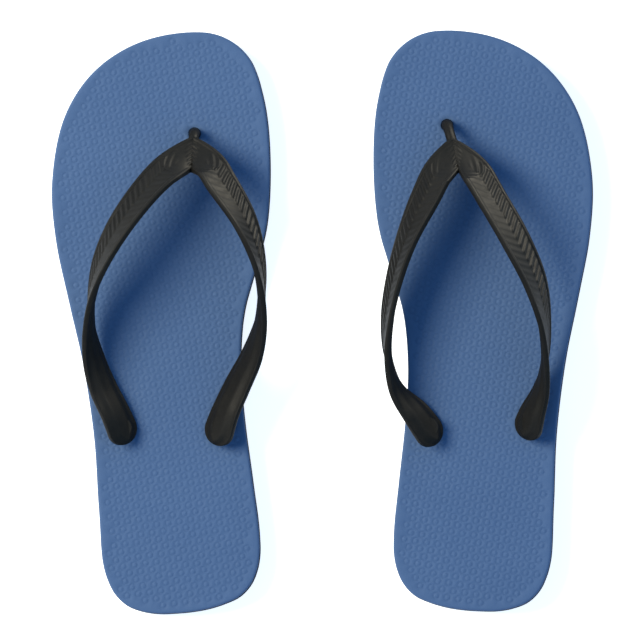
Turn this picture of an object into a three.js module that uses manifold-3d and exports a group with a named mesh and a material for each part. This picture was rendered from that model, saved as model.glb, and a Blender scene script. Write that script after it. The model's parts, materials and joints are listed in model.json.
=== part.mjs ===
// A pair of rubber flip-flops: two layered soles, each with a Y-shaped strap that is moulded as a twisted
// ribbon and held by three plugs. Millimetres, +X to the wearer's right, +Y towards the toes, +Z up.
// The origin is on the floor, at the middle of the pair's footprint.
//
// Each shoe is drawn in its own frame: its heel end at the origin, +Y towards the toes, +X towards the
// other shoe. The right shoe is mirrored. Both soles are cut across the ball line, where a sole bends.

import * as THREE from 'three';
import { mergeVertices } from 'three/addons/utils/BufferGeometryUtils.js';
import Module from 'manifold-3d';

const wasm = await Module();
wasm.setup();

// ---- Driving dimensions ----

const OUTSOLE_HEIGHT = 11; // black lower layer
const SOLE_HEIGHT = 16; // floor to the surface the foot stands on
const GAP = 0.3; // between neighbouring pieces
const FLEX_Y = 172; // ball line, from the heel end

const STRAP_THICKNESS = 4;
const STRAP_WIDTH_FRONT = 18;
const STRAP_WIDTH_REAR = 17;
const STRAP_EDGE_RADIUS = 1.5;
const TONGUE_RADIUS = 7.8;

const POST_RADIUS = 2.4;
const POST_CLEARANCE = 0.6; // between the foot of the post and the sole
const NECK_RADIUS = 3.8; // where the toe post runs into the V of the strap

const STEM_RADIUS = 4;
const FLANGE_RADIUS = 8;
const FLANGE_BOTTOM = 0.4; // above the floor, so that the sole rests on its own underside
const FLANGE_TOP = 3;

const TOE_HOLE = [18, 227.3];
const INNER_HOLE = [22.2, 86.4];
const OUTER_HOLE = [-24.6, 89];

// Where each shoe stands: its heel end, and how far its toes turn away from the other shoe, in degrees.
const HEEL_SPACING = 135.5;
const FOOTPRINT_SHIFT = 2.557; // brings the middle of the pair's footprint to the origin
const PLACES = {
  left: { x: FOOTPRINT_SHIFT - HEEL_SPACING / 2, y: -137.484, toeOut: 3.16, side: 1 },
  right: { x: FOOTPRINT_SHIFT + HEEL_SPACING / 2, y: -136.484, toeOut: 1.66, side: -1 },
};

// Sole outline as a closed smooth curve, anticlockwise from the heel end.
const SOLE_OUTLINE = [
  [-4, 0], [14, 1.8], [29, 8], [36, 20], [37.4, 34], [35.7, 60], [33.4, 90], [33, 115],
  [36, 140], [42.5, 160], [49, 181], [52.2, 212], [50.9, 240], [44.6, 261], [32, 271.6],
  [14, 274], [-9, 269.6], [-29, 257.5], [-43.5, 237.5], [-51.2, 207], [-51, 180],
  [-46.4, 150], [-41.3, 120], [-38, 85], [-37.6, 50], [-36.2, 20.5], [-29.5, 7], [-18, 1.2],
];

// Stations along each strap, from the outer tongue over the V to the inner tongue:
// x, y, height above the sole, and the ribbon's tilt in degrees. At tilt 0 the ribbon lies flat, at 90 it
// stands on edge, and beyond 90 the face that touches the foot looks upwards.
const STRAP_STATIONS = {
  left: [
    [-21.9, 81.4, 4.8, 146], [-26.8, 96, 8, 138], [-32.1, 109, 8.8, 133], [-35.5, 122, 10.2, 121],
    [-36.9, 136, 13.6, 103], [-35.3, 151, 19, 87], [-30.2, 166, 25.5, 69], [-20, 183.5, 29.5, 54],
    [-5, 201.5, 27, 46], [5, 210, 22.5, 43], [15.7, 214.8, 19, 39], [23.6, 210, 22.5, 42],
    [28.7, 201.5, 27, 43], [38.3, 183.5, 30, 54], [43.3, 167, 28, 70], [45, 152, 23.5, 85],
    [43.5, 135.5, 17.5, 103], [38.4, 120, 13, 121], [30.5, 105.5, 9.8, 131], [24.3, 93.5, 8.4, 135],
    [18.6, 78.6, 4.8, 146],
  ],
  right: [
    [-22.8, 82, 4.8, 145], [-26, 94, 9, 130], [-29.8, 105.5, 11.5, 111], [-31.6, 119, 15, 91],
    [-30.3, 137, 20, 75], [-25.3, 156, 25, 55], [-15.9, 175, 28, 46], [-4.3, 194, 25.5, 45],
    [5.7, 209, 20.5, 43], [12.8, 213.8, 18, 38], [19.4, 209, 20, 43], [26.9, 194, 22, 46],
    [34.7, 175, 21, 60], [40, 156, 18, 69], [42.9, 137, 15, 77], [42.6, 119.3, 12.5, 90],
    [37.5, 103.6, 10.2, 110], [27.9, 92.2, 8.6, 135], [17.7, 78.8, 4.8, 145],
  ],
};

// The toe post's centre line below the V, as x, y and height above the sole.
const POST_LINES = {
  left: [[17.9, 226.4, POST_CLEARANCE], [17.9, 226.3, 6], [17.3, 224.4, 12], [16, 218, 16.5]],
  right: [[18.2, 228.1, POST_CLEARANCE], [18.1, 227.9, 6], [16.6, 224.6, 11.5], [14, 218, 15.5]],
};

const FINISHES = {
  footbed: { color: 0x52729f, roughness: 0.7, metalness: 0 },
  outsole: { color: 0x1b1d1f, roughness: 0.75, metalness: 0 },
  strap: { color: 0x1f2120, roughness: 0.5, metalness: 0 },
};

const ROUND_SEGMENTS = 24;
const STRAP_STEPS = 58;
const TONGUE_STEPS = 5;
const TIP_SHARE = 0.15; // the ribbon's end face, as a share of its width
const POST_STEPS = 8;
const OUTLINE_POINTS = 84;
const FAR = 400; // longer than the shoe
const OVERSHOOT = 1; // how far a cutting tool runs past the face it cuts
const MERGE_DISTANCE = 1e-4;
const LENGTH_SAMPLES = 400; // for measuring distances along a path

// ---- Solids and booleans ----

function toSolid(geometry) {
  const bare = geometry.clone();
  bare.deleteAttribute('normal');
  bare.deleteAttribute('uv');
  const merged = mergeVertices(bare, MERGE_DISTANCE);
  return new wasm.Manifold(new wasm.Mesh({
    numProp: 3,
    vertProperties: new Float32Array(merged.attributes.position.array),
    triVerts: new Uint32Array(merged.index.array),
  }));
}

function toGeometry(solid) {
  const mesh = solid.getMesh();
  const geometry = new THREE.BufferGeometry();
  geometry.setAttribute('position', new THREE.BufferAttribute(new Float32Array(mesh.vertProperties), 3));
  geometry.setIndex(new THREE.BufferAttribute(new Uint32Array(mesh.triVerts), 1));
  geometry.computeVertexNormals();
  return geometry;
}

// Mirrors a geometry left to right and turns its faces round, so that they still point out.
function mirrored(geometry) {
  const copy = geometry.clone().scale(-1, 1, 1);
  const index = copy.index.array;
  for (let i = 0; i < index.length; i += 3) {
    [index[i], index[i + 1]] = [index[i + 1], index[i]];
  }
  copy.computeVertexNormals();
  return copy;
}

function cylinder(radius, bottom, top, [x, y]) {
  const geometry = new THREE.CylinderGeometry(radius, radius, top - bottom, ROUND_SEGMENTS);
  return geometry.rotateX(Math.PI / 2).translate(x, y, (top + bottom) / 2);
}

// ---- Sole ----

function soleLayer(bottom, top) {
  const curve = new THREE.CatmullRomCurve3(
    SOLE_OUTLINE.map(([x, y]) => new THREE.Vector3(x, y, 0)), true, 'centripetal');
  const points = curve.getSpacedPoints(OUTLINE_POINTS).slice(0, -1);
  const outline = new THREE.Shape(points.map((p) => new THREE.Vector2(p.x, p.y)));
  const geometry = new THREE.ExtrudeGeometry(outline, { depth: top - bottom, bevelEnabled: false });
  return toSolid(geometry.translate(0, 0, bottom));
}

// A block that holds everything ahead of the flex gap (end = 1) or behind it (end = -1).
function halfSpace(end) {
  const block = new THREE.BoxGeometry(FAR, FAR, FAR);
  return toSolid(block.translate(0, FLEX_Y + end * (FAR + GAP) / 2, 0));
}

// One layer's forefoot and heel parts, each with the holes that the plugs pass through.
function soleParts(bottom, top, holdsFlanges) {
  let layer = soleLayer(bottom, top);
  for (const hole of [TOE_HOLE, INNER_HOLE, OUTER_HOLE]) {
    const stemHole = cylinder(STEM_RADIUS + GAP, bottom - OVERSHOOT, top + OVERSHOOT, hole);
    layer = layer.subtract(toSolid(stemHole));
    if (holdsFlanges) {
      const recess = cylinder(FLANGE_RADIUS + GAP, bottom - OVERSHOOT, FLANGE_TOP + GAP, hole);
      layer = layer.subtract(toSolid(recess));
    }
  }
  return {
    forefoot: toGeometry(layer.intersect(halfSpace(1))),
    heel: toGeometry(layer.intersect(halfSpace(-1))),
  };
}

// A plug: a wide flange under the sole and a stem that ends flush with the surface above.
function plug([x, y]) {
  const profile = [
    [0, FLANGE_BOTTOM], [FLANGE_RADIUS, FLANGE_BOTTOM], [FLANGE_RADIUS, FLANGE_TOP],
    [STEM_RADIUS, FLANGE_TOP], [STEM_RADIUS, SOLE_HEIGHT], [0, SOLE_HEIGHT],
  ].map(([r, z]) => new THREE.Vector2(r, z));
  const geometry = new THREE.LatheGeometry(profile, ROUND_SEGMENTS);
  return toGeometry(toSolid(geometry.rotateX(Math.PI / 2).translate(x, y, 0)));
}

// ---- Strap ----

// A smooth path whose cross-section turns and scales along its length. It is cut at given distances from
// its start. sectionAt(place, tangent, t, distance) gives the two vectors that the section's x and y axes
// are drawn along; their lengths scale the section.
class TurningPath extends THREE.CatmullRomCurve3 {
  constructor(points, cutsFor, sectionAt) {
    super(points, false, 'centripetal');
    this.arcLengthDivisions = LENGTH_SAMPLES;
    this.cuts = cutsFor(this.getLength());
    this.sectionAt = sectionAt;
  }

  parameterAt(distance) {
    return this.getUtoTmapping(distance / this.getLength());
  }

  getSpacedPoints() {
    return this.cuts.map((distance) => this.getPoint(this.parameterAt(distance)));
  }

  computeFrenetFrames() {
    const frames = { tangents: [], normals: [], binormals: [] };
    for (const distance of this.cuts) {
      const t = this.parameterAt(distance);
      const tangent = this.getTangent(t);
      const { normal, binormal } = this.sectionAt(this.getPoint(t), tangent, t, distance);
      frames.tangents.push(tangent);
      frames.normals.push(normal);
      frames.binormals.push(binormal);
    }
    return frames;
  }
}

function evenCuts(steps) {
  return (length) => Array.from({ length: steps + 1 }, (_, i) => (length * i) / steps);
}

// Cuts for a ribbon with round ends: close together in the two tongues, even between them.
function ribbonCuts(length) {
  const tip = [];
  for (let i = 0; i < TONGUE_STEPS; i += 1) {
    tip.push(TONGUE_RADIUS * (1 - Math.cos((i / TONGUE_STEPS) * (Math.PI / 2))));
  }
  const middle = evenCuts(STRAP_STEPS)(length - 2 * TONGUE_RADIUS).map((d) => d + TONGUE_RADIUS);
  return [...tip, ...middle, ...tip.map((d) => length - d).reverse()];
}

// How much of the ribbon's full width is left at a distance from its nearer tip.
function tongueShare(distance) {
  const ahead = Math.max(0, 1 - distance / TONGUE_RADIUS);
  return Math.max(TIP_SHARE, Math.sqrt(1 - ahead * ahead));
}

// The ribbon's own directions: across it, towards the edge that faces the crotch of the V, and through it.
function ribbonDirections(tangent, tilt) {
  const inward = new THREE.Vector3(tangent.y, -tangent.x, 0).normalize();
  const upward = new THREE.Vector3().crossVectors(inward, tangent).normalize();
  const angle = THREE.MathUtils.degToRad(tilt);
  const across = inward.clone().multiplyScalar(Math.cos(angle)).addScaledVector(upward, Math.sin(angle));
  const through = new THREE.Vector3().crossVectors(tangent, across).normalize();
  return { across, through };
}

function ribbonSection() {
  const w = STRAP_WIDTH_FRONT / 2;
  const h = STRAP_THICKNESS / 2;
  const r = STRAP_EDGE_RADIUS;
  const shape = new THREE.Shape();
  shape.absarc(w - r, h - r, r, 0, Math.PI / 2);
  shape.absarc(r - w, h - r, r, Math.PI / 2, Math.PI);
  shape.absarc(r - w, r - h, r, Math.PI, 1.5 * Math.PI);
  shape.absarc(w - r, r - h, r, 1.5 * Math.PI, 2 * Math.PI);
  return shape;
}

function strapPath(stations) {
  const tilts = new THREE.CatmullRomCurve3(
    stations.map((s) => new THREE.Vector3(s[3], s[1], s[2])), false, 'centripetal');
  const front = Math.max(...stations.map((s) => s[1]));
  const rear = stations[0][1];
  const points = stations.map(([x, y, height]) => new THREE.Vector3(x, y, SOLE_HEIGHT + height));
  return new TurningPath(points, ribbonCuts, function sectionAt(place, tangent, t, distance) {
    const { across, through } = ribbonDirections(tangent, tilts.getPoint(t).x);
    const width = THREE.MathUtils.mapLinear(place.y, rear, front, STRAP_WIDTH_REAR, STRAP_WIDTH_FRONT)
      * tongueShare(Math.min(distance, this.getLength() - distance));
    return { normal: across.multiplyScalar(width / STRAP_WIDTH_FRONT), binormal: through };
  });
}

function toePost(line) {
  const points = line.map(([x, y, height]) => new THREE.Vector3(x, y, SOLE_HEIGHT + height));
  const sideways = new THREE.Vector3(1, 0, 0);
  const path = new TurningPath(points, evenCuts(POST_STEPS), (place, tangent, t) => {
    const radius = THREE.MathUtils.lerp(POST_RADIUS, NECK_RADIUS, t * t);
    const forward = new THREE.Vector3().crossVectors(tangent, sideways).normalize();
    return { normal: sideways.clone().multiplyScalar(radius), binormal: forward.multiplyScalar(radius) };
  });
  const circle = new THREE.Shape().absarc(0, 0, 1, 0, 2 * Math.PI);
  const options = { extrudePath: path, steps: path.cuts.length - 1, curveSegments: ROUND_SEGMENTS / 2 };
  return toSolid(new THREE.ExtrudeGeometry(circle, options));
}

function strap(stations, postLine) {
  const path = strapPath(stations);
  const options = { extrudePath: path, steps: path.cuts.length - 1, curveSegments: 3 };
  const ribbon = toSolid(new THREE.ExtrudeGeometry(ribbonSection(), options));
  return toGeometry(ribbon.add(toePost(postLine)));
}

// ---- Assembly ----

function shoe(name, place) {
  const group = new THREE.Group();
  const add = (piece, geometry, finish) => {
    const shape = place.side > 0 ? geometry : mirrored(geometry);
    const mesh = new THREE.Mesh(shape, new THREE.MeshStandardMaterial(FINISHES[finish]));
    mesh.name = `${name}_${piece}`;
    group.add(mesh);
  };
  const outsole = soleParts(0, OUTSOLE_HEIGHT, true);
  const footbed = soleParts(OUTSOLE_HEIGHT + GAP, SOLE_HEIGHT, false);
  for (const end of ['forefoot', 'heel']) {
    add(`outsole_${end}`, outsole[end], 'outsole');
    add(`footbed_${end}`, footbed[end], 'footbed');
  }
  add('strap', strap(STRAP_STATIONS[name], POST_LINES[name]), 'strap');
  add('toe_plug', plug(TOE_HOLE), 'strap');
  add('inner_plug', plug(INNER_HOLE), 'strap');
  add('outer_plug', plug(OUTER_HOLE), 'strap');
  group.position.set(place.x, place.y, 0);
  group.rotation.z = THREE.MathUtils.degToRad(place.side * place.toeOut);
  return group;
}

const pair = new THREE.Group();
for (const [name, place] of Object.entries(PLACES)) {
  pair.add(shoe(name, place));
}

export default pair;
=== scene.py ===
"""A pair of flip flops: blue footbeds covered in small rings, black outsoles and black V straps.

Shapes are worked out in millimetres in each shoe's own axes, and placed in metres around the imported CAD
frame. A shoe's x is towards the inner side of the foot, y towards the toes and z up.
"""

import json
import math

import bmesh
import bpy
import numpy as np
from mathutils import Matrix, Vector
from mathutils.geometry import delaunay_2d_cdt


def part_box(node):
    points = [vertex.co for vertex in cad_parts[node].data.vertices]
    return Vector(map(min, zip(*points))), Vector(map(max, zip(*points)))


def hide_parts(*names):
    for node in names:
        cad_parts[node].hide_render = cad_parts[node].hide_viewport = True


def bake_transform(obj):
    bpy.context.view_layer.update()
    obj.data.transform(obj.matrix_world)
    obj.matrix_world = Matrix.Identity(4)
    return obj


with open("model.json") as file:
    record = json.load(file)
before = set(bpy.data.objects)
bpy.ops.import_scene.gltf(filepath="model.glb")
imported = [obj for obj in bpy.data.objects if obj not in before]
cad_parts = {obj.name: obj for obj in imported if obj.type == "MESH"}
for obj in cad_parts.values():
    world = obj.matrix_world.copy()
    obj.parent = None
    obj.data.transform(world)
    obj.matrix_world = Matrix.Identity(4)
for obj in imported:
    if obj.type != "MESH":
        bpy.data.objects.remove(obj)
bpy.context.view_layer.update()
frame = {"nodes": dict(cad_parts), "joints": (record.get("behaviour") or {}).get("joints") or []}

JOINTS = {joint["name"]: joint for joint in frame["joints"]}
SIDES = ("left", "right")
PLUGS = ("toe", "inner", "outer")

MM = 0.001
OUTSOLE_HEIGHT = 11.0
SOLE_TOP = 16.0
FLEX_Y = 172.0
SOLE_MIDDLE = 137.0
CURVE_STEPS = 24

# ---- Places ----


class Shoe:
    """One shoe's own axes, taken from its flex joint, which lies across the sole at FLEX_Y."""

    def __init__(self, side):
        joint = JOINTS[side + "_sole_flex"]
        across = np.array(joint["axis"][:2])
        self.side = side
        self.inward = -across if side == "left" else across
        self.forward = np.array([across[1], -across[0]])
        self.origin = np.array(joint["pos_m"][:2]) / MM - FLEX_Y * self.forward
        self.holes = {plug: self.plug_place(plug) for plug in PLUGS}
        self.holes["toe"] = np.array(POSTS[side][0][:2])  # right under the visual toe post

    def plug_place(self, plug):
        low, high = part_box(f"{self.side}_{plug}_plug")
        middle = np.array((low + high) / 2) / MM
        return self.to_shoe(middle[None])[0, :2]

    def to_shoe(self, points):
        """Frame millimetres to the shoe's own."""
        flat = points[:, :2] - self.origin
        return np.column_stack([flat @ self.inward, flat @ self.forward, points[:, 2]])

    def to_frame(self, points):
        """The shoe's millimetres to frame metres."""
        flat = self.origin + points[:, :1] * self.inward + points[:, 1:2] * self.forward
        return np.column_stack([flat, points[:, 2]]) * MM


# ---- Curves ----


def smooth_segment(a, b, c, d, steps):
    """Points of the centripetal Catmull-Rom curve from b to c."""
    knots = [0.0]
    for near, far in ((a, b), (b, c), (c, d)):
        knots.append(knots[-1] + max(np.linalg.norm((far - near)[:3]), 1e-9) ** 0.5)
    t = np.linspace(knots[1], knots[2], steps, endpoint=False)[:, None]

    def mix(p, q, i, j):
        return (p * (knots[j] - t) + q * (t - knots[i])) / (knots[j] - knots[i])

    ab, bc, cd = mix(a, b, 0, 1), mix(b, c, 1, 2), mix(c, d, 2, 3)
    return mix(mix(ab, bc, 0, 2), mix(bc, cd, 1, 3), 1, 2)


def smooth_curve(points, closed=False):
    """A fine line of points through the given ones. Columns after the third are carried along."""
    p = np.asarray(points, float)
    if closed:
        p = np.vstack([p[-1:], p, p[:2]])
    else:
        p = np.vstack([2 * p[:1] - p[1:2], p, 2 * p[-1:] - p[-2:-1]])
    parts = [smooth_segment(*four, CURVE_STEPS) for four in zip(p, p[1:], p[2:], p[3:])]
    return np.vstack(parts + [p[-2:-1]])


def distances_along(points):
    steps = np.linalg.norm(np.diff(points[:, :3], axis=0), axis=1)
    return np.concatenate([[0.0], np.cumsum(steps)])


def pick_along(points, places):
    """The points at the given distances along a fine line."""
    along = distances_along(points)
    return np.column_stack([np.interp(places, along, column) for column in points.T])


def unit(vectors):
    return vectors / np.linalg.norm(vectors, axis=-1, keepdims=True)


def ramp(value, start, end):
    """0 before start, 1 after end, smooth between."""
    t = np.clip((value - start) / (end - start), 0.0, 1.0)
    return t * t * (3 - 2 * t)


# ---- Meshes ----


class Shell:
    """Points and faces of one surface, gathered loop by loop."""

    def __init__(self):
        self.points = []
        self.count = 0
        self.faces = []

    def add(self, points):
        """Adds points and returns their numbers."""
        self.points.append(np.asarray(points, float))
        first = self.count
        self.count += len(points)
        return np.arange(first, self.count)

    def bridge(self, first, second):
        """Joins two closed loops of the same length with four-sided faces."""
        quads = np.column_stack([first, np.roll(first, -1), np.roll(second, -1), second])
        self.faces += quads.tolist()

    def stack(self, loops):
        """Adds loops of points and joins each to the next. Returns the numbers of the first and last."""
        numbers = [self.add(loop) for loop in loops]
        for near, far in zip(numbers, numbers[1:]):
            self.bridge(near, far)
        return numbers[0], numbers[-1]

    def fill(self, rings, inner_points=None, lines=()):
        """Fills the outer ring, round the other rings, with triangles through the inner points.
        A line is a row of numbers in inner_points that the triangles keep as edges."""
        numbers = np.concatenate(rings)
        owner = np.concatenate([np.full(len(ring), k) for k, ring in enumerate(rings)])
        edges = ring_edges([len(ring) for ring in rings])
        if inner_points is not None:
            first = len(numbers)
            edges += [(first + i, first + j) for line in lines for i, j in zip(line, line[1:])]
            numbers = np.concatenate([numbers, self.add(inner_points)])
            owner = np.concatenate([owner, np.full(len(inner_points), -1)])
        flat = np.vstack(self.points)[numbers, :2]
        found = delaunay_2d_cdt([Vector(p) for p in flat], edges, [], 0, 1e-6)
        given = np.array([source[0] for source in found[3]])
        triangles = given[np.array(found[2])]
        keep = inside_rings(flat, owner, triangles, len(rings[0]))
        self.faces += numbers[triangles[keep]].tolist()

    def build(self, name, shoe, shift=(0.0, 0.0, 0.0)):
        """The finished object, with every face turned outwards."""
        points = shoe.to_frame(np.vstack(self.points)) + np.array(shift) * MM
        return mesh_object(name, points, self.faces)


def ring_edges(lengths):
    edges = []
    first = 0
    for length in lengths:
        edges += [(first + i, first + (i + 1) % length) for i in range(length)]
        first += length
    return edges


def inside_rings(flat, owner, triangles, outer_length):
    """Which triangles lie inside the outer ring and in none of the holes. Only a triangle with all its
    corners on one ring can be on the wrong side."""
    owners = owner[triangles]
    same = (owners[:, 0] == owners[:, 1]) & (owners[:, 1] == owners[:, 2])
    keep = ~(same & (owners[:, 0] > 0))
    doubtful = np.flatnonzero(same & (owners[:, 0] == 0))
    centres = flat[triangles[doubtful]].mean(1)
    keep[doubtful] = inside_outline(centres, flat[:outer_length])
    return keep


def inside_outline(points, outline):
    """Which points lie inside a closed outline, by counting the edges to their right."""
    a = outline
    b = np.roll(outline, -1, axis=0)
    x, y = points[:, :1], points[:, 1:2]
    spans = (a[:, 1] > y) != (b[:, 1] > y)
    rise = np.where(b[:, 1] == a[:, 1], 1e-12, b[:, 1] - a[:, 1])
    crossing = a[:, 0] + (y - a[:, 1]) / rise * (b[:, 0] - a[:, 0])
    return (spans & (x < crossing)).sum(1) % 2 == 1


def mesh_object(name, points, faces):
    mesh = bpy.data.meshes.new(name)
    mesh.from_pydata(points.tolist(), [], faces)
    tidy = bmesh.new()
    tidy.from_mesh(mesh)
    bmesh.ops.recalc_face_normals(tidy, faces=tidy.faces)
    tidy.to_mesh(mesh)
    tidy.free()
    obj = bpy.data.objects.new(name, mesh)
    bpy.context.scene.collection.objects.link(obj)
    return obj


def shade(obj, sharp_degrees):
    mesh = obj.data
    mesh.polygons.foreach_set("use_smooth", [True] * len(mesh.polygons))
    mesh.set_sharp_from_angle(angle=math.radians(sharp_degrees))


def union(name, objects):
    """One surface round all the given closed ones, which are removed."""
    base = objects[0]
    for other in objects[1:]:
        modifier = base.modifiers.new("join", "BOOLEAN")
        modifier.operation = "UNION"
        modifier.solver = "MANIFOLD"
        modifier.object = other
    bpy.context.view_layer.update()
    seen = base.evaluated_get(bpy.context.evaluated_depsgraph_get())
    joined = bpy.data.objects.new(name, bpy.data.meshes.new_from_object(seen))
    joined.data.name = name
    bpy.context.scene.collection.objects.link(joined)
    for obj in objects:
        bpy.data.objects.remove(obj)
    return joined


# ---- Sole ----

OUTLINE_STEPS = 840
CUT_CLEARANCE = 0.5  # the CAD's corners nearer to its cut, or to a hole, are not on the outline
HOLE_CLEARANCE = 8.0
HOLE_STEPS = 32
PLUG_HOLE = 4.3
HOLE_RADIUS = {"toe": 2.8, "inner": PLUG_HOLE, "outer": PLUG_HOLE}
RECESS_RADIUS = 8.5
RECESS_TOP = 3.3
RECESS_RIM = 0.5
OUTSOLE_SHADE_SHIFT = (0.35, -0.3, 0.0)  # painted shade: the dark outsole is moved this way so that it shows as a dark line on the sides away from the lights
# A plug's hole in the outsole, with the recess for its flange: radius and height.
RECESS = (
    (RECESS_RADIUS + RECESS_RIM, 0.0), (RECESS_RADIUS, RECESS_RIM), (RECESS_RADIUS, RECESS_TOP),
    (PLUG_HOLE, RECESS_TOP), (PLUG_HOLE, OUTSOLE_HEIGHT),
)
# The sheets' edges from the side: distance in from the outline, and height.
FOOTBED_EDGE = (
    (1.3, 16.0), (0.75, 15.93), (0.35, 15.73), (0.1, 15.38), (0.0, 14.9), (0.0, 13.0), (0.05, 11.7),
    (0.3, 11.2), (0.8, 11.0),
)
OUTSOLE_EDGE = (
    (1.4, 0.0), (0.6, 0.15), (0.15, 0.6), (0.0, 1.3), (-0.1, 4.0), (-0.15, 8.0), (-0.1, 10.3),
    (0.05, 10.8), (0.5, 11.0), (2.0, 11.0),
)
# A hole's rim in the footbed: how much wider than the hole, and height.
HOLE_RIM = ((0.3, 16.0), (0.1, 15.8), (0.0, 15.4), (0.0, 11.0))

RING_PITCH = 5.38
RING_ROW = 3.46
RING_TURN = {"left": 5.2, "right": 7.2}  # degrees, from across the sole
# The loops of points that make a ring, from its middle outwards, with heights above the footbed's top.
RING_RADII = (0.0, 0.55, 0.95, 1.35, 1.75, 2.1)
RING_COUNTS = (1, 8, 12, 14, 14, 12)
RING_HEIGHTS = (0.06, 0.04, -0.06, -0.21, -0.13, 0.0)
RING_DEPTHS = (0.93, 1.07)  # least and most, as a share of the heights above
RING_SLIP = 0.04
RING_EDGE_MARGIN = 3.75
RING_REACH = (60, 30)  # rows and rings each way from the sole's middle, before the edge cuts them off
# Radius of the plain disc round each plug.
SMOOTH_SPOTS = {"toe": 5.6, "inner": 7.0, "outer": 7.0}

TREAD_PITCH = 7.0
TREAD_WAVE = 2.4
TREAD_LENGTH = 24.0
TREAD_DEPTH = 1.3
TREAD_MARGIN = 5.0
TREAD_RECESS_MARGIN = 3.5
TREAD_HALF_WIDTH = 56.0
TREAD_STEP = 1.5
TREAD_FEWEST = 5  # points in the shortest groove
# A groove's section: distance across it, and share of its depth.
TREAD_SIDES = ((-1.5, 0.0), (-0.9, 1.0), (0.9, 1.0), (1.5, 0.0))


def vertices(node):
    mesh = frame["nodes"][node].data
    flat = np.zeros(len(mesh.vertices) * 3)
    mesh.vertices.foreach_get("co", flat)
    return flat.reshape(-1, 3) / MM


def sole_outline(shoe):
    """A smooth closed line round the sole, through the corners of the CAD footbed's outline."""
    parts = [vertices(f"{shoe.side}_footbed_{end}") for end in ("forefoot", "heel")]
    points = shoe.to_shoe(np.vstack(parts))
    points = points[points[:, 2] > SOLE_TOP - 0.05, :2]
    keep = abs(points[:, 1] - FLEX_Y) > CUT_CLEARANCE
    for hole in shoe.holes.values():
        keep &= np.linalg.norm(points - hole, axis=1) > HOLE_CLEARANCE
    points = np.unique(points[keep].round(2), axis=0)
    angles = np.arctan2(points[:, 1] - SOLE_MIDDLE, points[:, 0])
    line = smooth_curve(points[np.argsort(angles)], closed=True)
    line = np.column_stack([line, np.zeros(len(line))])
    length = distances_along(line)[-1]
    return pick_along(line, np.arange(OUTLINE_STEPS) * length / OUTLINE_STEPS)[:, :2]


def inset(outline, distance):
    """The outline moved inwards. It runs anticlockwise, so its left is inside."""
    along = unit(np.roll(outline, -1, axis=0) - np.roll(outline, 1, axis=0))
    return outline + distance * np.column_stack([-along[:, 1], along[:, 0]])


def at_height(flat, z):
    return np.column_stack([flat, np.full(len(flat), float(z))])


def circle(centre, radius, z):
    angles = np.arange(HOLE_STEPS) * 2 * math.pi / HOLE_STEPS
    flat = np.asarray(centre) + radius * np.column_stack([np.cos(angles), np.sin(angles)])
    return at_height(flat, z)


def outline_distance(points, outline):
    """How far each point is from the outline, and negative outside it."""
    gaps = np.linalg.norm(points[:, None] - outline[None, ::2], axis=2).min(1)
    return np.where(inside_outline(points, outline), gaps, -gaps)


def ring_centres(shoe, outline):
    """The places of the rings: staggered rows that keep clear of the edge and the plugs."""
    turn = math.radians(RING_TURN[shoe.side])
    along = np.array([math.cos(turn), math.sin(turn)])
    up = np.array([-along[1], along[0]])
    most_rows, most_columns = RING_REACH
    rows, columns = np.mgrid[-most_rows : most_rows + 1, -most_columns : most_columns + 1]
    stagger = 0.5 * (rows % 2)
    places = (columns + stagger).reshape(-1, 1) * RING_PITCH * along + rows.reshape(-1, 1) * RING_ROW * up
    places += (0.0, SOLE_MIDDLE)
    places = places[outline_distance(places, outline) > RING_EDGE_MARGIN]
    for plug, clearance in SMOOTH_SPOTS.items():
        places = places[np.linalg.norm(places - shoe.holes[plug], axis=1) > clearance]
    return places


def ring_points(centres, chance):
    """Points of every ring: a low button in a round groove, each pressed in a little differently."""
    depths = chance.uniform(*RING_DEPTHS, len(centres))
    slips = chance.normal(0.0, RING_SLIP, (len(centres), 2))
    parts = []
    for k, (radius, count, height) in enumerate(zip(RING_RADII, RING_COUNTS, RING_HEIGHTS)):
        angles = (np.arange(count) + 0.5 * (k % 2)) * 2 * math.pi / count
        flat = radius * np.column_stack([np.cos(angles), np.sin(angles)])
        places = (centres + slips)[:, None] + flat[None]
        heights = np.broadcast_to(SOLE_TOP + height * depths[:, None], places.shape[:2])
        parts.append(np.dstack([places, heights]).reshape(-1, 3))
    return np.vstack(parts)


def footbed(shoe, outline):
    chance = np.random.default_rng(7 if shoe.side == "left" else 8)
    shell = Shell()
    top, bottom = shell.stack([at_height(inset(outline, d), z) for d, z in FOOTBED_EDGE])
    walls = []
    for plug, centre in shoe.holes.items():
        radius = HOLE_RADIUS[plug]
        walls.append(shell.stack([circle(centre, radius + wider, z) for wider, z in HOLE_RIM]))
    rings = ring_points(ring_centres(shoe, outline), chance)
    shell.fill([top] + [wall[0] for wall in walls], rings)
    shell.fill([bottom] + [wall[1] for wall in walls])
    piece = shell.build(shoe.side + "_footbed", shoe)
    mark_groove_shade(piece)
    shade(piece, 50)
    return piece


def mark_groove_shade(piece):
    """Stores how deep each point of the footbed's top lies, for the shade that its material paints into the
    grooves.
    """
    heights = np.array([vertex.co.z for vertex in piece.data.vertices]) / MM
    depths = np.clip(SOLE_TOP - heights, 0.0, -min(RING_HEIGHTS)) / -min(RING_HEIGHTS)
    depths[heights < SOLE_TOP - 0.5] = 0.0
    groove = piece.data.attributes.new("groove", "FLOAT", "POINT")
    groove.data.foreach_set("value", depths.astype(np.float32))


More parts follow.
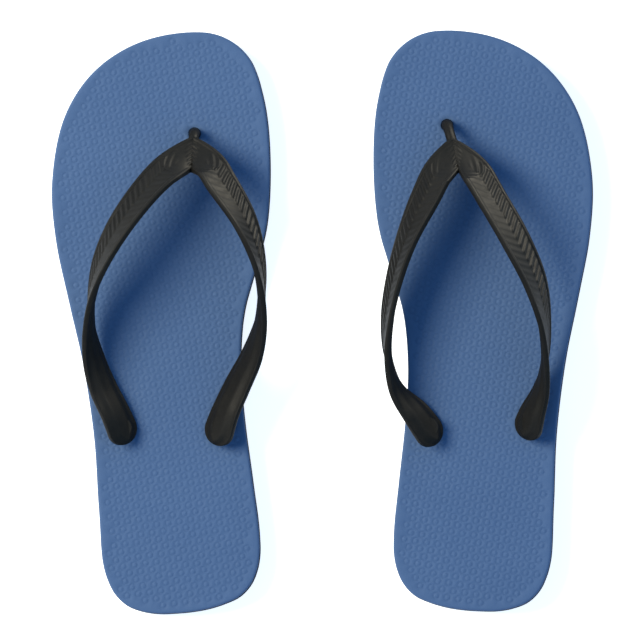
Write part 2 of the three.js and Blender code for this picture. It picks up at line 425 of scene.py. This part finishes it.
def tread(shoe, outline):
    """Points and lines of the wavy grooves across the underside."""
    points = []
    lines = []
    x = np.arange(-TREAD_HALF_WIDTH, TREAD_HALF_WIDTH + 1.0, TREAD_STEP)
    for y in np.arange(TREAD_PITCH, 2 * SOLE_MIDDLE, TREAD_PITCH):
        wave = y + TREAD_WAVE * np.sin(2 * math.pi * x / TREAD_LENGTH)
        middle = np.column_stack([x, wave])
        clear = outline_distance(middle, outline) > TREAD_MARGIN
        for centre in shoe.holes.values():
            clear &= np.linalg.norm(middle - centre, axis=1) > RECESS_RADIUS + TREAD_RECESS_MARGIN
        for run in runs_of(clear):
            for offset, share in TREAD_SIDES:
                depth = np.full(len(run), share * TREAD_DEPTH)
                depth[[0, -1]] = 0.0
                lines.append(np.arange(len(run)) + sum(len(part) for part in points))
                points.append(np.column_stack([middle[run] + (0.0, offset), depth]))
    return np.vstack(points), lines


def runs_of(flags):
    """The rows of numbers where flags stay true, leaving out the shortest."""
    numbers = np.flatnonzero(flags)
    runs = np.split(numbers, np.flatnonzero(np.diff(numbers) > 1) + 1)
    return [run for run in runs if len(run) >= TREAD_FEWEST]


def outsole(shoe, outline):
    shell = Shell()
    bottom, top = shell.stack([at_height(inset(outline, d), z) for d, z in OUTSOLE_EDGE])
    walls = []
    for centre in shoe.holes.values():
        walls.append(shell.stack([circle(centre, r, z) for r, z in RECESS]))
    grooves, lines = tread(shoe, outline)
    shell.fill([bottom] + [wall[0] for wall in walls], grooves, lines)
    shell.fill([top] + [wall[1] for wall in walls])
    # moved so that the dark outsole shows as a line of painted shade on one side
    piece = shell.build(shoe.side + "_outsole", shoe, OUTSOLE_SHADE_SHIFT)
    shade(piece, 40)
    return piece


# ---- Strap ----

# The middle of the band, from its outer end over the V to its inner end: x, y, height above the sole,
# and the tilt of the band, in degrees up from flat.
STATIONS = {
    "left": (
        (-21.9, 81.4, 4.8, 146), (-26.8, 96, 8, 138), (-32.1, 109, 8.8, 133), (-35.5, 122, 10.2, 121),
        (-36.9, 136, 13.6, 103), (-35.3, 151, 19, 87), (-30.2, 166, 25.5, 69), (-20, 183.5, 29.5, 54),
        (-5, 201.5, 27.5, 45), (5, 210, 23, 40), (15.7, 214.8, 18, 36), (23.6, 210, 23, 38),
        (28.7, 201.5, 27.5, 40), (38.3, 183.5, 30, 54), (43.3, 167, 28, 70), (45, 152, 23.5, 85),
        (43.5, 135.5, 17.5, 103), (38.4, 120, 13, 121), (30.5, 105.5, 9.8, 131), (24.3, 93.5, 8.4, 135),
        (18.6, 78.6, 4.8, 146),
    ),
    "right": (
        (-22.8, 82, 4.8, 145), (-26, 94, 9, 130), (-29.8, 105.5, 11.5, 111), (-31.6, 119, 15, 91),
        (-30.3, 137, 20, 75), (-25.3, 156, 25, 55), (-15.9, 175, 28, 44), (-4.3, 194, 26, 43),
        (5.7, 209, 20.8, 40), (12.8, 213.8, 17, 36), (19.4, 209, 20, 40), (26.9, 194, 22, 45),
        (34.7, 175, 21, 60), (40, 156, 18, 69), (42.9, 137, 15, 77), (42.6, 119.3, 12.5, 90),
        (37.5, 103.6, 10.2, 110), (27.9, 92.2, 8.6, 135), (17.7, 78.8, 4.8, 145),
    ),
}
# The crease of the V: its nose and its crotch.
CREASES = {
    "left": ((16.6, 223.8, 12.5), (14.8, 207.8, 20.5)),
    "right": ((15.5, 222.7, 11.5), (11.8, 206.7, 19.5)),
}
# The middle of the toe post: x, y, height above the sole.
POSTS = {
    "left": ((17.4, 226, -12.6), (17.4, 226, 0.6), (17.4, 225.9, 5.5), (17, 224.2, 9.8), (16.1, 220, 12.4)),
    "right": (
        (17.8, 229.2, -12.6), (17.8, 229.2, 0.6), (17.6, 228.7, 5.5), (16.4, 225, 9.6), (14.7, 219.5, 11.6),
    ),
}
BAND_WIDTH = (17.2, 18.2)  # at the ends and at the V
BAND_HALF = 2.0
BAND_STEP = 0.45
TONGUE = 7.8
TIP_STEPS = 16
TIP_START = 0.08  # radians round the tip, so that its first loop is not a point
TIP_THINNING = 0.97
RULES = 64  # parts across the band's middle surface
FACE_STEPS = 44
BACK_STEPS = 16
EDGE_STEPS = 8
EDGE_ROUND = 1.3
EDGE_SQUARENESS = 0.5  # 1 is a round edge
EDGE_SHARE = 0.9  # the most of a half width that the rounding takes
EDGE_BACK = 0.6  # the back is only this deep at its edges
EDGE_TAPER = 4.5

BORDER = 1.9
BORDER_SLOPE = 0.4
SUNK = 0.6
RIB_MARGIN = 0.2
RIB_RISE = 1.0
RIB_HEIGHT = 0.55
RIB_SHARPNESS = (-0.5, 0.6)  # parts of the wave, from -1 to 1, where a rib rises
RIB_SPLIT = (-0.6, 0.6)
INNER_RIBS = 0.2  # height of the ribs' inner half, as a share of the outer half's
RIB_PITCH = 3.8
RIB_SLANT = 0.75
RIBS_START = 5.0
RIBS_END = 105.0
RIBS_RISE = 6.0
RIBS_FALL = 25.0
COMB_PITCH = 2.4
COMB_REACH = 3.2
COMB_FALL = 1.6
COMB_HEIGHT = 0.4
V_REACH = 15.0
V_PULL = 0.3  # how far the legs run on at the nose, as a share of the way to the crease
CROTCH_PULL = 0.1  # a share of V_PULL, as the crotch's sides are straighter
NOSE_ROUND = 0.85

POST_RADIUS = (2.6, 2.6, 2.6, 2.4, 2.6)
POST_STEPS = 60
TUBE_STEPS = 32
STEM_RADIUS = 4.0
STEM_STEPS = 14
STEM_FLARE = 0.6
STEM_LEAN = 0.4  # how far a stem leans from its hole to the band above it
# A plug's flange, in the recess under the sole: height and radius.
FLANGE_TOP = 3.0
FLANGE = ((0.4, 7.4), (0.6, 8.0), (2.7, 8.0), (FLANGE_TOP, 7.6), (FLANGE_TOP, 4.0))


def band_places(length):
    """Distances of the band's cross-sections from its start, closer together in the rounded ends."""
    tip = TONGUE * (1 - np.cos(np.linspace(TIP_START, math.pi / 2, TIP_STEPS)[:-1]))
    middle = np.linspace(TONGUE, length - TONGUE, round((length - 2 * TONGUE) / BAND_STEP))
    return np.concatenate([tip, middle, length - tip[::-1]])


class Band:
    """The strap's band: for each cross-section its middle, along, across (to the crotch edge), outward, and
    width, and how far it is from the V."""

    def __init__(self, side):
        self.side = side
        line = smooth_curve(STATIONS[side])
        line[:, 2] += SOLE_TOP
        length = distances_along(line)[-1]
        self.places = band_places(length)
        points = pick_along(line, self.places)
        self.middle = points[:, :3]
        self.along = unit(np.gradient(self.middle, self.places, axis=0))
        level = unit(np.column_stack([self.along[:, 1], -self.along[:, 0], np.zeros(len(points))]))
        upward = np.cross(level, self.along)
        tilt = np.radians(points[:, 3:4])
        self.across = np.cos(tilt) * level + np.sin(tilt) * upward
        self.outward = np.cross(self.across, self.along)
        ends = np.minimum(self.places, length - self.places)
        ahead = np.clip(1 - ends / TONGUE, 0, 1)
        share = (points[:, 1] - points[0, 1]) / (points[:, 1].max() - points[0, 1])
        self.width = (BAND_WIDTH[0] + share * (BAND_WIDTH[1] - BAND_WIDTH[0])) * np.sqrt(1 - ahead**2)
        self.thin = np.sqrt(1 - np.clip(1 - ends / BAND_HALF, 0, TIP_THINNING) ** 2)
        self.ends = ends
        self.front = int(points[:, 1].argmax())
        self.from_v = self.places - self.places[self.front]

    def sheet(self, v):
        """The band's middle surface: a row of points for each cross-section, at distances v (rows by
        columns) from its middle line, with the legs meeting in a mitre at the V."""
        sheet = self.middle[:, None] + v[:, :, None] * self.across[:, None]
        reach = round(V_REACH / BAND_STEP)
        first, last = self.front - reach, self.front + reach
        mitre = self.mitre(v[self.front])
        nose_share = ramp(-v[self.front], 0.0, BAND_WIDTH[1] / 2)[:, None]
        pull_share = V_PULL * (CROTCH_PULL + (1 - CROTCH_PULL) * nose_share)
        for start, sign in ((first, 1), (last, -1)):
            pull = unit(sheet[start] - sheet[start - 2 * sign])
            size = np.linalg.norm(mitre - sheet[start], axis=1)[:, None]
            a, d = sheet[start], mitre
            b = a + pull_share * size * pull
            c = d + (a - d) / 3 + NOSE_ROUND * nose_share * (b - a - V_PULL * (d - a))
            for k in range(1, reach + 1):
                t = k / reach
                bend = (1 - t) ** 3 * a + 3 * (1 - t) ** 2 * t * b + 3 * (1 - t) * t * t * c + t**3 * d
                sheet[start + sign * k] = bend
        return sheet

    def mitre(self, v):
        """The crease of the V, from its nose to its crotch."""
        nose, crotch = np.array(CREASES[self.side]) + (0.0, 0.0, SOLE_TOP)
        share = (v - v[0]) / (v[-1] - v[0])
        return nose + share[:, None] * (crotch - nose)


def rib_waves(band, v):
    """Height of the slanted ribs and of the comb at the V, between 0 and 1, on the recessed face."""
    half = band.width[:, None] / 2
    distance = abs(band.from_v)[:, None]
    phase = (distance + RIB_SLANT * abs(v)) / RIB_PITCH
    ribs = ramp(np.cos(2 * math.pi * phase), *RIB_SHARPNESS)
    outer_half = INNER_RIBS + (1 - INNER_RIBS) * ramp(-v, *RIB_SPLIT)
    fade = ramp(distance, RIBS_START, RIBS_START + RIBS_RISE)
    fade = fade * (1 - ramp(distance, RIBS_END - RIBS_FALL, RIBS_END))
    comb = 0.5 + 0.5 * np.cos(2 * math.pi * (v + half) / COMB_PITCH)
    near = 1 - ramp(distance, COMB_REACH - COMB_FALL, COMB_REACH)
    return ribs * outer_half * fade * RIB_HEIGHT + comb * near * COMB_HEIGHT


def face_heights(band, v):
    """How far the outer face stands from the band's middle surface: raised borders, ribs between them."""
    half = band.width[:, None] / 2
    edge = np.minimum(half - abs(v), band.ends[:, None])
    sunk = ramp(edge, BORDER - BORDER_SLOPE, BORDER + BORDER_SLOPE)
    ribbed = ramp(edge, BORDER + RIB_MARGIN, BORDER + RIB_MARGIN + RIB_RISE)
    return BAND_HALF - SUNK * sunk + rib_waves(band, v) * ribbed


def band_section(band):
    """Distances across the band and out of it, for every cross-section: the face, an edge, the back and
    the other edge."""
    half = band.width[:, None] / 2
    rounding = np.minimum(EDGE_ROUND, half * EDGE_SHARE)
    flat = half - rounding
    face = np.linspace(-1, 1, FACE_STEPS) * flat
    angles = np.linspace(math.pi / 2, -math.pi / 2, EDGE_STEPS + 2)[1:-1]
    round_v = flat + rounding * np.cos(angles) ** EDGE_SQUARENESS
    heights = np.where(angles > 0, BAND_HALF, -EDGE_BACK) * abs(np.sin(angles)) ** EDGE_SQUARENESS
    round_w = np.broadcast_to(heights, round_v.shape)
    back = np.linspace(1, -1, BACK_STEPS) * flat
    back_w = -EDGE_BACK - (BAND_HALF - EDGE_BACK) * ramp(flat - abs(back), 0.0, EDGE_TAPER)
    v = np.hstack([face, round_v, back, -round_v[:, ::-1]])
    w = np.hstack([face_heights(band, face), round_w, back_w, round_w[:, ::-1]])
    return v, w * band.thin[:, None]


def band_shell(side):
    """The closed skin of the band: its cross-sections laid on the middle surface."""
    band = Band(side)
    v, w = band_section(band)
    half = band.width[:, None] / 2
    ruled = band.sheet(half * np.linspace(-1, 1, RULES + 1))
    share = (v / half + 1) * RULES / 2
    low = np.clip(np.floor(share).astype(int), 0, RULES - 1)
    rest = (share - low)[:, :, None]
    rows = np.arange(len(v))[:, None]
    surface = ruled[rows, low] * (1 - rest) + ruled[rows, low + 1] * rest
    points = surface + w[:, :, None] * band_outward(band)[:, None]
    shell = Shell()
    first, last = shell.stack(list(points))
    shell.faces += [first.tolist(), last[::-1].tolist()]
    return shell, band


def band_outward(band):
    """Outward directions that turn evenly across the V."""
    outward = band.outward.copy()
    reach = round(V_REACH / BAND_STEP)
    first, last = band.front - reach, band.front + reach
    share = np.linspace(0, 1, 2 * reach + 1)[:, None]
    outward[first : last + 1] = unit(outward[first] * (1 - share) + outward[last] * share)
    return outward


def post_shell(shoe):
    """The toe post, from its flange under the sole up into the nose of the V."""
    table = np.array(POSTS[shoe.side], float)
    table[:, 2] += SOLE_TOP
    fine = smooth_curve(np.column_stack([table, POST_RADIUS]))
    line = pick_along(fine, np.linspace(0, distances_along(fine)[-1], POST_STEPS))
    x, y = line[0, :2]
    foot = [(x, y, z, radius) for z, radius in FLANGE[:-1]]
    neck = (x, y, FLANGE_TOP, POST_RADIUS[0])
    return lathe_tube(np.vstack([foot, neck, line[line[:, 2] > FLANGE_TOP + 0.5]]))


def stem_shell(shoe, plug, band):
    """A stem from its flange under the sole, up through its hole and into the band above it."""
    hole = np.append(shoe.holes[plug], SOLE_TOP)
    quarter = len(band.middle) // 4
    middle = band.middle[:quarter] if plug == "outer" else band.middle[-quarter:]
    above = middle[np.linalg.norm(middle[:, :2] - hole[:2], axis=1).argmin()]
    target = STEM_LEAN * above + (1 - STEM_LEAN) * np.append(hole[:2], above[2])
    t = np.linspace(0, 1, STEM_STEPS)[:, None]
    line = hole + t * (target - hole)
    top = np.column_stack([line, STEM_RADIUS + STEM_FLARE * ramp(t[:, 0], 0.3, 1.0)])
    foot = [(hole[0], hole[1], z, radius) for z, radius in FLANGE]
    neck = (hole[0], hole[1], SOLE_TOP - 1.0, STEM_RADIUS)
    return lathe_tube(np.vstack([foot, neck, top]))


def lathe_tube(line):
    """A closed tube along points with a radius in the fourth column. It is upright below the sole's top."""
    places, radii = line[:, :3], line[:, 3]
    along = np.gradient(places, axis=0)
    flat = np.linalg.norm(along, axis=1) < 1e-6
    along[flat] = (0, 0, 1)
    along[places[:, 2] < SOLE_TOP - 0.5] = (0, 0, 1)
    along = unit(along)
    angles = np.arange(TUBE_STEPS) * 2 * math.pi / TUBE_STEPS
    loops = []
    for place, direction, radius in zip(places, along, radii):
        forward = unit(np.cross(direction, (1.0, 0.0, 0.0)))
        sideways = unit(np.cross(forward, direction))
        ring = np.cos(angles)[:, None] * sideways + np.sin(angles)[:, None] * forward
        loops.append(place + radius * ring)
    shell = Shell()
    first, last = shell.stack(loops)
    shell.faces += [first.tolist(), last[::-1].tolist()]
    return shell


def strap(shoe):
    shell, band = band_shell(shoe.side)
    parts = [shell.build("band", shoe), post_shell(shoe).build("post", shoe)]
    parts += [stem_shell(shoe, plug, band).build(plug, shoe) for plug in ("inner", "outer")]
    piece = union(shoe.side + "_thong", parts)
    shade(piece, 35)
    return piece


# ---- Materials ----


class Nodes:
    """A material's nodes, with short calls for the ones used here."""

    def __init__(self, name):
        self.material = bpy.data.materials.new(name)
        self.material.use_nodes = True
        self.tree = self.material.node_tree
        self.shader = self.tree.nodes["Principled BSDF"]
        self.place = self.add("ShaderNodeTexCoord").outputs["Object"]

    def add(self, kind, **settings):
        node = self.tree.nodes.new(kind)
        for key, value in settings.items():
            setattr(node, key, value)
        return node

    def link(self, output, target):
        if isinstance(output, (int, float, tuple)):
            target.default_value = output
        else:
            self.tree.links.new(output, target)

    def noise(self, scale, detail=3.0):
        node = self.add("ShaderNodeTexNoise")
        self.link(self.place, node.inputs["Vector"])
        node.inputs["Scale"].default_value = scale
        node.inputs["Detail"].default_value = detail
        node.inputs["Roughness"].default_value = 0.55
        return node.outputs["Fac"]

    def cells(self, scale):
        node = self.add("ShaderNodeTexVoronoi")
        self.link(self.place, node.inputs["Vector"])
        node.inputs["Scale"].default_value = scale
        return node.outputs["Distance"]

    def spread(self, value, low, high, start=0.0, end=1.0):
        """Maps low..high of a value to start..end."""
        node = self.add("ShaderNodeMapRange")
        self.link(value, node.inputs["Value"])
        node.inputs["From Min"].default_value = low
        node.inputs["From Max"].default_value = high
        node.inputs["To Min"].default_value = start
        node.inputs["To Max"].default_value = end
        return node.outputs["Result"]

    def mix(self, share, first, second):
        node = self.add("ShaderNodeMix", data_type="RGBA")
        self.link(share, node.inputs["Factor"])
        self.link(first, node.inputs["A"])
        self.link(second, node.inputs["B"])
        return node.outputs["Result"]

    def math(self, operation, first, second):
        node = self.add("ShaderNodeMath", operation=operation)
        self.link(first, node.inputs[0])
        self.link(second, node.inputs[1])
        return node.outputs[0]

    def bump(self, height, distance, strength=1.0, normal=None):
        node = self.add("ShaderNodeBump")
        self.link(height, node.inputs["Height"])
        node.inputs["Distance"].default_value = distance
        node.inputs["Strength"].default_value = strength
        if normal is not None:
            self.link(normal, node.inputs["Normal"])
        return node.outputs["Normal"]

    def attribute(self, name):
        return self.add("ShaderNodeAttribute", attribute_name=name).outputs["Fac"]

    def edges(self, low, high):
        """1 on sharp outward edges, 0 on flats."""
        geometry = self.add("ShaderNodeNewGeometry")
        return self.spread(geometry.outputs["Pointiness"], low, high)

    def finish(self, colour, roughness, normal, specular):
        self.link(colour, self.shader.inputs["Base Color"])
        self.link(roughness, self.shader.inputs["Roughness"])
        self.link(normal, self.shader.inputs["Normal"])
        self.shader.inputs["Specular IOR Level"].default_value = specular
        return self.material


def footbed_foam():
    """Blue foam rubber: fine closed pores, faint mottling, and painted shade in the grooves."""
    n = Nodes("footbed_foam")
    mottle = n.spread(n.noise(22.0, 4.0), 0.35, 0.65)
    colour = n.mix(mottle, (0.055, 0.1, 0.196, 1), (0.06, 0.107, 0.206, 1))
    speck = n.spread(n.noise(1900.0, 2.0), 0.35, 0.7, 0.0, 0.3)
    colour = n.mix(speck, colour, (0.045, 0.085, 0.17, 1))
    # painted shade: the foam's colour darkens where its top dips into the ring grooves
    colour = n.mix(n.math("MULTIPLY", n.attribute("groove"), 0.18), colour, (0.036, 0.072, 0.155, 1))
    pores = n.bump(n.cells(1500.0), 0.00006, 0.4)
    normal = n.bump(n.noise(700.0, 3.0), 0.00008, 0.4, pores)
    roughness = n.spread(n.noise(160.0), 0.3, 0.7, 0.66, 0.8)
    return n.finish(colour, roughness, normal, 0.2)


def strap_rubber():
    """Black moulded rubber with a satin skin: fine grain, faint flow marks and paler rubbed edges."""
    n = Nodes("strap_rubber")
    mottle = n.spread(n.noise(60.0, 4.0), 0.35, 0.65)
    colour = n.mix(mottle, (0.0055, 0.005, 0.0041, 1), (0.0075, 0.0068, 0.0056, 1))
    dust = n.math("MULTIPLY", n.spread(n.noise(900.0, 2.0), 0.5, 0.75), 0.15)
    colour = n.mix(dust, colour, (0.022, 0.02, 0.017, 1))
    colour = n.mix(n.math("MULTIPLY", n.edges(0.53, 0.65), 0.25), colour, (0.026, 0.024, 0.02, 1))
    grain = n.bump(n.cells(2600.0), 0.00004, 0.5)
    normal = n.bump(n.noise(420.0, 3.0), 0.00006, 0.4, grain)
    roughness = n.spread(n.noise(240.0), 0.3, 0.7, 0.46, 0.6)
    return n.finish(colour, roughness, normal, 0.11)


def outsole_rubber():
    """Black hard rubber: dull, lightly pitted, with dust on its lower edge."""
    n = Nodes("outsole_rubber")
    mottle = n.spread(n.noise(45.0, 4.0), 0.35, 0.65)
    colour = n.mix(mottle, (0.012, 0.013, 0.015, 1), (0.018, 0.019, 0.022, 1))
    height = n.add("ShaderNodeSeparateXYZ")
    n.link(n.place, height.inputs[0])
    low = n.math("MULTIPLY", n.spread(height.outputs["Z"], 0.003, 0.0), n.spread(n.noise(300.0), 0.4, 0.7))
    colour = n.mix(n.math("MULTIPLY", low, 0.35), colour, (0.07, 0.068, 0.062, 1))
    colour = n.mix(n.math("MULTIPLY", n.edges(0.52, 0.62), 0.3), colour, (0.04, 0.04, 0.042, 1))
    pits = n.bump(n.cells(1100.0), 0.00008, 0.5)
    normal = n.bump(n.noise(350.0, 3.0), 0.00008, 0.5, pits)
    roughness = n.spread(n.noise(200.0), 0.3, 0.7, 0.6, 0.78)
    return n.finish(colour, roughness, normal, 0.2)


# ---- The pair ----

SOLE_BEND = 30.0
STRAP_BEND = 45.0


def flex_point(shoe, offset):
    return shoe.to_frame(np.array([[0.0, FLEX_Y + offset, SOLE_TOP]]))[0].tolist()


def bend(piece, shoe, reach):
    start, end = flex_point(shoe, -reach), flex_point(shoe, reach)
    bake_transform(piece)


def make_shoe(side, finishes):
    shoe = Shoe(side)
    outline = sole_outline(shoe)
    top = footbed(shoe, outline)
    bottom = outsole(shoe, outline)
    thong = strap(shoe)
    for piece, finish, slot in zip((top, bottom, thong), finishes, ("footbed", "outsole", "strap")):
        piece.data.materials.clear()
        piece.data.materials.append(finish)
    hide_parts(side + "_footbed_forefoot", side + "_footbed_heel")
    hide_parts(side + "_outsole_forefoot", side + "_outsole_heel")
    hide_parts(side + "_strap", *[f"{side}_{plug}_plug" for plug in PLUGS])
    bend(top, shoe, SOLE_BEND)
    bend(bottom, shoe, SOLE_BEND)
    bend(thong, shoe, STRAP_BEND)
    return thong


# ---- Room, light and camera ----

PICTURE_WIDTH = 0.3046
LENS = 1000.0
SENSOR = 36.0
FLOOR_HALF = 6.0
FLOOR_GLOW = 0.88  # the floor is a light table
# Each light's direction from the pair, distance, width and power.
KEY_LIGHT = ((-0.65, 0.22, 0.73), 2.4, 1.3, 81.0)
LOW_LIGHT = ((-0.83, 0.25, 0.52), 2.4, 1.5, 6.8)
SHEEN_LIGHT = ((0.62, 0.72, 0.3), 1.3, 0.7, 42.0)
WARM = (1.02, 0.93, 0.74)
COOL = (0.254, 0.508, 0.837, 1.0)
PALE = (0.9, 0.92, 0.94, 1.0)


def floor():
    mesh = bpy.data.meshes.new("floor")
    corners = [(x * FLOOR_HALF, y * FLOOR_HALF, 0) for x, y in ((-1, -1), (1, -1), (1, 1), (-1, 1))]
    mesh.from_pydata(corners, [], [(0, 1, 2, 3)])
    obj = bpy.data.objects.new("floor", mesh)
    bpy.context.scene.collection.objects.link(obj)
    n = Nodes("floor_paper")
    colour = n.mix(n.spread(n.noise(3.0), 0.3, 0.7), (0.86, 0.86, 0.86, 1), (0.88, 0.88, 0.88, 1))
    n.finish(colour, 0.9, n.bump(n.noise(900.0), 0.00003, 0.3), 0.1)
    n.link(colour, n.shader.inputs["Emission Color"])
    n.shader.inputs["Emission Strength"].default_value = FLOOR_GLOW
    mesh.materials.append(n.material)


def area_light(name, direction, distance, size, power):
    data = bpy.data.lights.new(name, "AREA")
    data.shape = "DISK"
    data.size = size
    data.energy = power
    data.color = WARM
    obj = bpy.data.objects.new(name, data)
    back = Vector(direction).normalized()
    obj.location = back * distance
    obj.rotation_mode = "QUATERNION"
    obj.rotation_quaternion = back.to_track_quat("Z", "Y")
    obj.visible_camera = False
    bpy.context.scene.collection.objects.link(obj)
    return obj


def only_on(light, pieces):
    """Lets a light fall on the given pieces alone."""
    group = bpy.data.collections.new(light.name + "_receivers")
    for piece in pieces:
        group.objects.link(piece)
    light.light_linking.receiver_collection = group


def studio(thongs):
    """The floor, the lights and the room. The sheen is a highlight for the straps alone."""
    floor()
    area_light("key", *KEY_LIGHT)
    area_light("low", *LOW_LIGHT)
    sheen = area_light("sheen", *SHEEN_LIGHT)
    sheen.visible_diffuse = False
    only_on(sheen, thongs)
    bpy.context.scene.world = room()
    bpy.context.scene.view_settings.view_transform = "Standard"


def room():
    """Cool light from all round, though the room itself looks pale."""
    world = bpy.data.worlds.new("pale_room")
    world.use_nodes = True
    nodes, links = world.node_tree.nodes, world.node_tree.links
    seen = nodes.new("ShaderNodeLightPath").outputs["Is Camera Ray"]
    colour = nodes.new("ShaderNodeMix")
    colour.data_type = "RGBA"
    colour.inputs["A"].default_value = COOL
    colour.inputs["B"].default_value = PALE
    links.new(seen, colour.inputs["Factor"])
    links.new(colour.outputs["Result"], nodes["Background"].inputs["Color"])
    nodes["Background"].inputs["Strength"].default_value = 1.0
    return world


def camera():
    """Looks straight down from far off, as in the photograph."""
    data = bpy.data.cameras.new("camera")
    data.lens = LENS
    data.sensor_width = SENSOR
    obj = bpy.data.objects.new("camera", data)
    obj.location = (0.0, 0.0, SOLE_TOP * MM + PICTURE_WIDTH * LENS / SENSOR)
    bpy.context.scene.collection.objects.link(obj)
    bpy.context.scene.camera = obj


FINISHES = (footbed_foam(), outsole_rubber(), strap_rubber())
thongs = [make_shoe(side, FINISHES) for side in SIDES]
studio(thongs)
camera()
